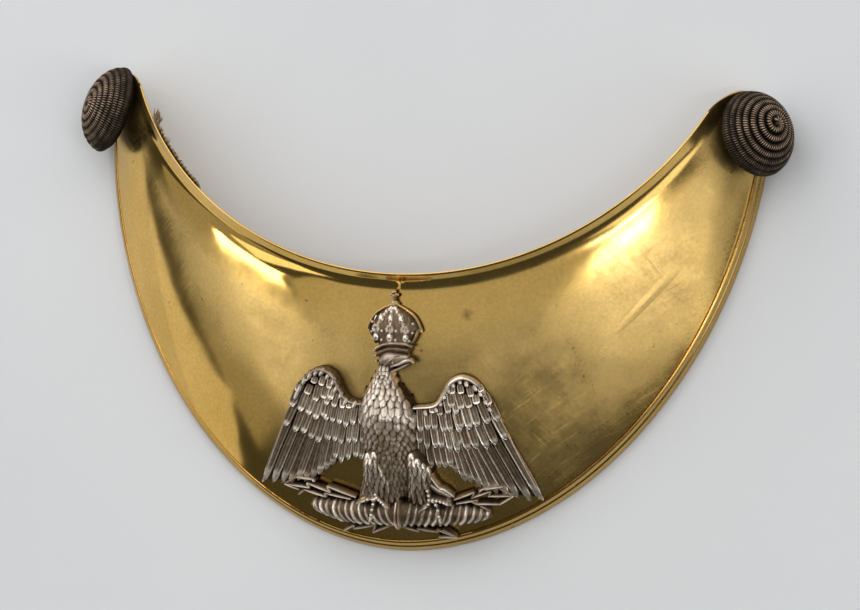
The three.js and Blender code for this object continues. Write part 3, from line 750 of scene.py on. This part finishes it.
def legs(chance):
    left_knobs = [(-4.2, 18.3, 0.75), (-3.0, 18.5, 0.8)]
    right_knobs = [(4.4, 18.7, 0.8), (5.6, 18.0, 0.7), (6.5, 17.1, 0.65), (7.3, 16.2, 0.7)]
    forms = thigh(left_thigh, left_knobs, chance)
    forms += thigh(right_thigh, right_knobs, chance)
    shank = [
        (7.7, 15.3, 0.5, 2.9),
        (8.4, 14.3, 0.5, 2.7),
        (9.3, 13.2, 0.5, 2.5),
        (10.6, 12.6, 0.5, 2.3),
        (12.0, 11.6, 0.4, 2.0),
    ]
    calf = [(7.2, 13.8, 0.7, 2.4), (8.6, 12.7, 0.95, 2.3), (10.2, 12.0, 0.8, 2.1), (11.4, 11.4, 0.5, 1.8)]
    forms.append(ridge(calf, stations=20, dull=0.03, bright=0.5))
    forms.append(ridge(shank, stations=24, base=0.8, dull=0.05, bright=1.0))
    feet = [
        [(-3.1, 12.2), (-3.1, 10.9), (-4.8, 10.7), (-7.0, 9.9)],
        [(-3.1, 11.4), (-3.7, 9.7), (-4.2, 7.8), (-4.7, 6.5)],
        [(-3.1, 11.4), (-1.9, 10.3), (-0.6, 9.2)],
        [(7.1, 13.6), (7.4, 12.0), (7.2, 10.5), (5.3, 9.0)],
        [(7.7, 11.6), (8.8, 10.4), (9.2, 8.4), (9.4, 7.0)],
        [(7.7, 11.5), (9.7, 11.2), (11.7, 10.7)],
    ]
    for points in feet:
        forms += toe(points, 4.0)
    return forms


def thunderbolt(chance):
    """A spindle wrapped in slanting leaves, tied in the middle, with zigzag darts behind it."""
    over_bolt = mound(bolt_rows, 0)
    forms = [ridge(bolt_rows, stations=50, columns=11, dull=0.05, bright=0.2)]
    rows = np.array(bolt_rows)
    leaf_pitch = 1.38
    leaf_count = 12
    # A leaf's path over the spindle: how far it slants along it, and its place across it.
    path = [(0.75, 0.97), (0.5, 0.45), (0.0, -0.2), (-0.9, -0.8), (-1.3, -0.97)]
    for side in (-1, 1):
        for i in range(leaf_count):
            u = 0.9 + side * (1.9 + leaf_pitch * i + chance.uniform(-0.18, 0.18))
            width = chance.uniform(0.5, 0.68)
            rise = chance.uniform(0.25, 0.65)
            centre, half = [np.interp(u, rows[:, 0], rows[:, k]) for k in (1, 2)]
            leaf = []
            for slant, across in path:
                v = centre + across * half
                leaf.append((u + side * slant, v, width, over_bolt(u, v) + rise))
            bright = chance.uniform(0.4, 0.8)
            forms.append(ridge(leaf, stations=18, columns=9, base=0.8, dull=0.02, bright=bright))
    for offset in (-0.34, 0.34):
        tie = [
            (0.95 + offset, 10.2, 0.34, 3.0),
            (0.95 + offset, 8.6, 0.38, 4.4),
            (0.85 + offset, 6.6, 0.38, 4.3),
            (0.6 + offset * 0.5, 4.9, 0.24, 2.4),
        ]
        forms.append(ridge(tie, stations=20, columns=7, base=0.8, dull=0.2, bright=0.95))
    darts = [
        [(-7.9, 10.2), (-14.0, 12.0), (-13.3, 10.9), (-18.4, 12.5), (-17.8, 11.6), (-23.4, 12.2)],
        [(-9.0, 9.8), (-14.6, 10.7), (-14.2, 10.0), (-19.1, 11.2), (-20.4, 10.3)],
        [(-16.6, 12.8), (-17.2, 13.2), (-20.7, 13.5)],
        [(-20.7, 13.5), (-23.4, 12.2), (-20.2, 11.2)],
        [(12.0, 11.0), (16.0, 12.7), (15.4, 11.6), (19.2, 13.2), (18.6, 12.2), (23.4, 12.7)],
        [(12.4, 10.3), (16.5, 11.3), (16.2, 10.6), (20.8, 10.9)],
        [(16.9, 12.9), (17.6, 13.4), (21.4, 14.2)],
        [(20.6, 14.0), (23.4, 12.7), (20.6, 10.8)],
        [(15.2, 11.0), (17.0, 10.3), (18.9, 9.5)],
        [(-11.0, 3.8), (-8.7, 5.0), (-8.8, 4.3), (-4.1, 5.2), (-4.8, 3.8), (-0.4, 5.6)],
        [(1.0, 5.4), (4.6, 4.5), (4.3, 5.1), (8.4, 4.7), (8.2, 5.2), (12.0, 4.0)],
        [(9.4, 5.2), (12.1, 4.0), (8.5, 3.8)],
    ]
    for path in darts:
        # Straight bars with sharp turns: each stretch is a bar of its own.
        for start, end in zip(path[:-1], path[1:]):
            middle = [mix(a, b, 0.5) for a, b in zip(start, end)]
            bar = [(*start, 0.3, 1.9), (*middle, 0.34, 2.0), (*end, 0.26, 1.8)]
            forms.append(ridge(bar, stations=8, columns=7, base=0.5, dull=0.1, bright=0.5))
    return forms


def turned(middle, radius, height, step, worn):
    """Rings round an upright axis, evenly worn, with a point every so many degrees."""
    turn = np.radians(np.arange(0, 360, step))
    x = middle[0] + radius * np.cos(turn)
    y = middle[1] + radius * np.sin(turn)
    return np.stack([x, y, height + 0 * turn], axis=-1), np.full(x.shape, worn)


def back_pin(u, v):
    height = np.array([0.6, -2.0, -2.2, -2.25])[:, None]
    radius = np.array([1.0, 1.0, 0.85, 0.3])[:, None]
    return turned((u, v), radius, height, step=20, worn=0.3)


def wear_shown(tree, scale, detail, roughness, least, most):
    """Places on a piece, and how far it is worn at them, made uneven by noise."""
    place = node(tree, "TexCoord").outputs["Object"]
    worn = node(tree, "Attribute", attribute_name="wear").outputs["Fac"]
    grain = noise(tree, place, scale, detail, roughness)
    uneven = node(tree, "MapRange", {"Value": grain, "To Min": least, "To Max": most}).outputs["Result"]
    return place, node(tree, "Math", {0: worn, 1: uneven}, operation="ADD").outputs["Value"]


def silver_finish():
    tarnish = (0.038, 0.0235, 0.012)
    grey = (0.27, 0.195, 0.13)
    silver = (0.72, 0.61, 0.505)
    rubbed = (0.98, 0.9, 0.8)
    material, tree = new_material("tarnished_silver", Metallic=1.0)
    place, shown = wear_shown(tree, 900.0, 4.0, 0.65, -0.2, 0.2)
    colour = ramp(tree, shown, [(0.02, tarnish), (0.28, grey), (0.58, silver), (0.95, rubbed)])
    rough = ramp(tree, shown, [(0.1, 0.6), (0.9, 0.32)])
    cast = bump(tree, noise(tree, place, 2600.0, 3.0), 0.25, 0.08)
    return finished(material, Base_Color=colour, Roughness=rough, Normal=cast)


badge_chance = np.random.default_rng(5)
badge_forms = wing(-1, badge_chance) + wing(1, badge_chance) + bird(badge_chance)
badge_forms += crown() + legs(badge_chance) + thunderbolt(badge_chance) + [back_pin(0, 41), back_pin(0, 14)]
eagle = casting("eagle_casting", [on_badge(form) for form in badge_forms], sharp=60)
eagle.data.materials.append(silver_finish())
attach(eagle, "root")
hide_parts("eagle_badge")

# Buttons. Each horn carries a domed button: a core wound from edge to top with one cord of dark metal thread,
# laid ring on ring. A post in its foot goes through the plate, and the button leans back a little from it.

button_radius = 8.8
button_height = 6.7
button_seat_share = 0.64
button_lean = np.radians(13)
button_lift = 0.75
button_turns = 8.5
buttons = [
    # name, side, moved aside by, scale, top of the winding moved aside by
    ("left", -1, (0.8, -0.5), 1.04, (-0.3, 0)),
    ("right", 1, (0, 0), 1.0, (1.2, 1.5)),
]
cord_radius = 0.74
thread_pitch = 0.46
thread_depth = 0.1
core_depth = 1.0
knot_radius = 0.8
knot_sink = 0.15


def button_place(side):
    """The button's foot and its axis."""
    radius = mix(neck_radius, rim_radius(button_angle), button_seat_share)
    x = np.array(side * radius * np.sin(button_angle))
    y = np.array(neck_centre_y - radius * np.cos(button_angle))
    normal = Vector(front_normal(x, y))
    lean = Matrix.Rotation(button_lean, 3, normal.cross((0, 1, 0)).normalized())
    axis = lean @ normal
    clearance = badge_gap + button_radius * float(np.sin(button_lean)) * button_lift
    return Vector(on_front(x, y, 0.0)) + clearance * axis, axis


def cord_line(wound, aside):
    """The cord's middle line on the dome, from a ring round its foot to its top, which lies a little aside.
    Also the way out from it."""
    climbed = np.clip((button_turns * wound - 1) / (button_turns - 1), 0, 1)
    rise = np.radians(mix(6.0, 88.0, climbed))
    turn = 2 * np.pi * button_turns * wound
    radius = (button_radius - cord_radius) * np.cos(rise)
    height = cord_radius + (button_height - 2 * cord_radius) * np.sin(rise)
    out = np.stack([np.cos(rise) * np.cos(turn), np.cos(rise) * np.sin(turn), np.sin(rise)], axis=-1)
    middle = np.stack([aside[0] * climbed**2, aside[1] * climbed**2, height], axis=-1)
    return middle + np.stack([radius * np.cos(turn), radius * np.sin(turn), 0 * turn], axis=-1), out


def cord_rings(aside):
    """The cord wound in a spiral, with the fine threads that wrap it."""
    first_wound = np.linspace(0, 1, 6000)
    step = np.linalg.norm(np.diff(cord_line(first_wound, aside)[0], axis=0), axis=1)
    length = np.concatenate([[0], np.cumsum(step)])
    along = np.linspace(0, length[-1], int(6 * length[-1] / thread_pitch))
    centre, out = cord_line(np.interp(along, length, first_wound), aside)
    way = unit(np.gradient(centre, axis=0))
    over = unit(np.cross(way, out))
    out = np.cross(over, way)
    round_cord = np.radians(np.arange(0, 360, 30))[None, :]
    lobe = np.cos(2 * np.pi * along[:, None] / thread_pitch + round_cord)
    reach = cord_radius * (1 + thread_depth * lobe)
    ring = np.cos(round_cord)[..., None] * out[:, None] + np.sin(round_cord)[..., None] * over[:, None]
    rubbed = mix(0.55, 1.2, along[:, None] / length[-1])
    worn = rubbed * np.clip(0.5 + 0.5 * lobe, 0, 1) * np.clip(np.cos(round_cord), 0.05, 1) ** 1.3
    return centre[:, None] + reach[..., None] * ring, worn


def core_rings():
    rise = np.radians(np.linspace(0, 88, 16))[:, None]
    radius = (button_radius - core_depth) * np.cos(rise)
    height = (button_height - core_depth) * np.sin(rise)
    return turned((0, 0), radius, height, step=7.5, worn=0.0)


def knot_rings(aside):
    """The cord's tucked end, which closes the winding at its top."""
    rise = np.radians(np.linspace(-60, 80, 8))[:, None]
    height = button_height - cord_radius - knot_sink + knot_radius * np.sin(rise)
    return turned(aside, knot_radius * np.cos(rise), height, step=30, worn=0.55)


def cord_finish():
    black_brown = (0.012, 0.0095, 0.0075)
    bronze = (0.088, 0.058, 0.037)
    copper = (0.64, 0.45, 0.31)
    material, tree = new_material("dark_metal_thread", Metallic=0.75, Specular_IOR_Level=0.4)
    place, shown = wear_shown(tree, 420.0, 5.0, 0.7, -0.5, 0.45)
    colour = ramp(tree, shown, [(0.1, black_brown), (0.55, bronze), (1.0, copper)])
    rough = ramp(tree, shown, [(0.1, 0.75), (1.0, 0.34)])
    thread = bump(tree, noise(tree, place, 5200.0, 2.0), 0.35, 0.06)
    return finished(material, Base_Color=colour, Roughness=rough, Normal=thread)


metal_thread = cord_finish()
for name, side, aside, scale, apex in buttons:
    foot, axis = button_place(side)
    foot = foot + Vector((*aside, 0))
    stand = np.array(Vector((0, 0, 1)).rotation_difference(axis).to_matrix())
    wound = (core_rings(), cord_rings(apex), knot_rings(apex))
    forms = [(scale * rings @ stand.T + np.array(foot), worn) for rings, worn in wound]
    button = casting("wound_button_" + name, forms, sharp=180)
    button.data.materials.append(metal_thread)
    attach(button, "root")
    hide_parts("button_" + name)

# Posts. A short pin of plain metal holds each button through its horn, with a flat head behind the plate.
# Only the heads are seen, and only from behind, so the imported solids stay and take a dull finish.


def post_finish():
    dark_brass = (0.20, 0.15, 0.08)
    bare_brass = (0.48, 0.38, 0.22)
    material, tree = new_material("dull_post_metal", Metallic=1.0)
    place = node(tree, "TexCoord").outputs["Object"]
    colour = ramp(tree, noise(tree, place, 500.0, 4.0), [(0.35, dark_brass), (0.65, bare_brass)])
    rough = ramp(tree, noise(tree, place, 900.0), [(0.3, 0.35), (0.7, 0.6)])
    return finished(material, Base_Color=colour, Roughness=rough)


post_metal = post_finish()
for name in ("left", "right"):
    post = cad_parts["button_post_" + name]
    post.data.materials.clear()
    post.data.materials.append(post_metal)

# Lining. A torn strip of the old tan lining is still stitched behind the lip on the left of the neck. Its
# frayed edge and a tuft near the horn stand out past the brass, with the dark thread that held it.

lining_from = np.radians(-58)
lining_to = np.radians(-41)
lining_tuck = 2.4
lining_reach = 0.35
lining_thickness = 0.6


def behind_lip(angle, along, behind):
    """A point below the lip's edge along its slope, and behind its front."""
    height, lean = lip_edge(angle)
    radius = neck_radius + along * np.cos(lean) - behind * np.sin(lean)
    rise = height - along * np.sin(lean) - behind * np.cos(lean)
    return np.stack([radius * np.sin(angle), neck_centre_y - radius * np.cos(angle), rise], axis=-1)


def lining_rings():
    angle = np.linspace(lining_from, lining_to, 150)[:, None]
    step = np.linspace(0, 60, 150)[:, None]
    fray = 0.5 + 0.22 * np.sin(1.3 * step) + 0.18 * np.sin(3.1 * step + 1) + 0.16 * np.sin(7.7 * step + 2)
    reach = lining_reach * (fray + 1.1 * np.exp(-(((step - 5) / 3.0) ** 2)))
    share = np.linspace(0, 1, 7)[None, :]
    front = sheet_thickness * mix(lip_edge_share, 1, share) + 0.15
    along = mix(-reach, lining_tuck, share)
    swell = 0.12 * np.sin(2.3 * step + 4 * share)
    top = behind_lip(angle, along, front + 0.05 + np.abs(swell) * 0.5)
    low = behind_lip(angle, along, front + lining_thickness * mix(0.45, 1, share))[:, ::-1]
    tan = np.concatenate([mix(0.75, 0.5, share) + swell, mix(0.4, 0.6, share) + 0 * swell], axis=1)
    return np.concatenate([top, low], axis=1), tan


def fibre(start, bend, end, radius, tone):
    t = np.linspace(0, 1, 9)[:, None]
    line = (1 - t) ** 2 * start + 2 * t * (1 - t) * bend + t * t * end
    turn = np.radians(np.arange(0, 360, 72))
    way = end - start
    side = unit(np.cross(way, (0, 0, 1)))
    over = unit(np.cross(side, way))
    ring = np.cos(turn)[:, None] * side + np.sin(turn)[:, None] * over
    taper = mix(1, 0.35, t)[..., None]
    return line[:, None] + radius * taper * ring, np.full((9, len(turn)), tone)


def frayed_threads():
    """Loose fibres along the torn edge, thickest in the tuft, and dark stitches over it."""
    chance = np.random.default_rng(7)
    forms = []
    for i in range(110):
        in_tuft = i < 60
        angle = np.radians(chance.uniform(-57.6, -55.6) if in_tuft else chance.uniform(-57, -41.5))
        depth = sheet_thickness * lip_edge_share + chance.uniform(0.2, 0.7)
        start = behind_lip(angle, 0.4, depth)
        reach = chance.uniform(1.6, 3.8) if in_tuft else chance.uniform(0.15, 0.5)
        end = behind_lip(angle + chance.uniform(-0.012, 0.012), -reach, depth + chance.uniform(-0.3, 0.5))
        bend = (start + end) / 2 + chance.uniform(-0.35, 0.35, 3)
        forms.append(fibre(start, bend, end, chance.uniform(0.08, 0.16), chance.uniform(0.55, 1.2)))
    for degrees in np.arange(-54.5, -41.5, 0.9):
        angle = np.radians(degrees)
        depth = sheet_thickness * lip_edge_share + 0.2
        start = behind_lip(angle, 0.5, depth)
        end = behind_lip(angle + 0.007, -0.75, depth + 0.25)
        bend = behind_lip(angle + 0.003, -0.35, depth - 0.3)
        forms.append(fibre(start, bend, end, 0.13, 0.0))
    return forms


def lining_finish():
    thread = (0.012, 0.010, 0.008)
    brown = (0.16, 0.105, 0.055)
    tan = (0.5, 0.38, 0.23)
    material, tree = new_material("frayed_tan_lining", Roughness=0.9, Specular_IOR_Level=0.2)
    place, shown = wear_shown(tree, 1500.0, 4.0, 0.55, -0.12, 0.12)
    colour = ramp(tree, shown, [(0.12, thread), (0.3, brown), (0.8, tan)])
    nap = bump(tree, noise(tree, place, 3500.0, 4.0), 0.6, 0.15)
    return finished(material, Base_Color=colour, Normal=nap)


lining = casting("torn_lining", [lining_rings()] + frayed_threads(), sharp=60)
lining.data.materials.append(lining_finish())
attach(lining, "root")
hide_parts("lining_scrap")

# Table. A smooth pale grey sheet under the gorget, which isn't part of it.

table_half = 2.0
table_drop = 0.05 * mm


def table_finish():
    grey = (0.80, 0.81, 0.83)
    pale_grey = (0.85, 0.86, 0.875)
    material, tree = new_material("pale_table", Roughness=0.75, Specular_IOR_Level=0.25)
    place = node(tree, "TexCoord").outputs["Object"]
    colour = ramp(tree, noise(tree, place, 7.0, 4.0), [(0.3, grey), (0.7, pale_grey)])
    return finished(material, Base_Color=colour)


table_mesh = bpy.data.meshes.new("table")
corner_ways = ((-1, -1), (1, -1), (1, 1), (-1, 1))
table_corners = [(x * table_half, y * table_half, -table_drop) for x, y in corner_ways]
table_mesh.from_pydata(table_corners, [], [(0, 1, 2, 3)])
table = placed("table", table_mesh)
table_mesh.materials.append(table_finish())

# Light. Narrow strips and soft panels stand on both sides, so that the brass mirrors streaks and pale patches
# on its shoulders, and the room is dark in front. A ceiling, a key behind on the left and a fill behind on
# the right light the rest.

room = bpy.data.worlds.new("room")
scene.world = room
room.use_nodes = True
dark_room = (0.066, 0.068, 0.061, 1)
room.node_tree.nodes["Background"].inputs["Color"].default_value = dark_room


def soft_box(name, azimuth, zenith, distance, width, height, radiance, roll):
    """A rectangular light in a direction from the gorget, turned to it and rolled round that direction.
    Angles are degrees: azimuth from the right, and zenith from straight above."""
    light = bpy.data.lights.new(name, "AREA")
    light.shape = "RECTANGLE"
    light.size = width
    light.size_y = height
    light.energy = radiance * np.pi * width * height
    lamp = placed(name, light)
    aside, down = np.radians(azimuth), np.radians(zenith)
    towards = Vector((np.sin(down) * np.cos(aside), np.sin(down) * np.sin(aside), np.cos(down)))
    lamp.location = towards * distance
    level = towards.to_track_quat("Z", "Y").to_matrix()
    lamp.rotation_euler = (level @ Matrix.Rotation(np.radians(roll), 3, "Z")).to_euler()


lights = [
    # name, azimuth, zenith, distance, width, height, radiance, roll
    ("left_box", 189, 43.5, 1.2, 0.35, 0.055, 6.5, 82),
    ("left_window", 208, 48, 1.2, 0.4, 0.3, 1.3, 0),
    ("left_panel", 195, 57, 1.3, 1.0, 0.75, 0.32, 0),
    ("left_card", 202, 90.5, 1.2, 0.64, 0.5, 0.7, 32),
    ("right_box", 342, 33, 1.2, 0.085, 0.38, 11.0, 24),
    ("right_panel", 341.5, 57, 1.3, 0.46, 0.95, 1.5, 22),
    ("ceiling", 90, 5, 1.6, 2.1, 1.6, 0.48, 0),
    ("key", 135, 50, 1.2, 1.5, 1.15, 1.45, 0),
    ("fill", 55, 42, 1.3, 1.2, 1.0, 1.0, 0),
]
for light in lights:
    soft_box(*light)

# Camera. It looks down from above and a little from the right, as the photograph was taken, with a long lens.

lens_distance = 0.9
lens_back = Vector((0.2713, -0.1313, 0.9535)).normalized()
lens_roll = np.radians(5.163)
lens_target = Vector((0, 1.99, 8)) * mm
lens_aside = 3.99 * mm
lens_down = 0.94 * mm
image_width = 860
pixels_per_metre = 4943.2
sensor_width = 36.0

up = (Vector((0, 1, 0)) - Vector((0, 1, 0)).dot(lens_back) * lens_back).normalized()
right = up.cross(lens_back)
camera_right = float(np.cos(lens_roll)) * right + float(np.sin(lens_roll)) * up
camera_up = lens_back.cross(camera_right)
camera_data = bpy.data.cameras.new("camera")
camera_data.sensor_width = sensor_width
camera_data.lens = sensor_width * pixels_per_metre * lens_distance / image_width
camera_data.clip_start = 0.01
camera = placed("camera", camera_data)
turn = Matrix((camera_right, camera_up, lens_back)).transposed().to_4x4()
aim = lens_target + lens_aside * camera_right - lens_down * camera_up
camera.matrix_world = Matrix.Translation(aim + lens_distance * lens_back) @ turn
scene.camera = camera
scene.view_settings.view_transform = "Standard"
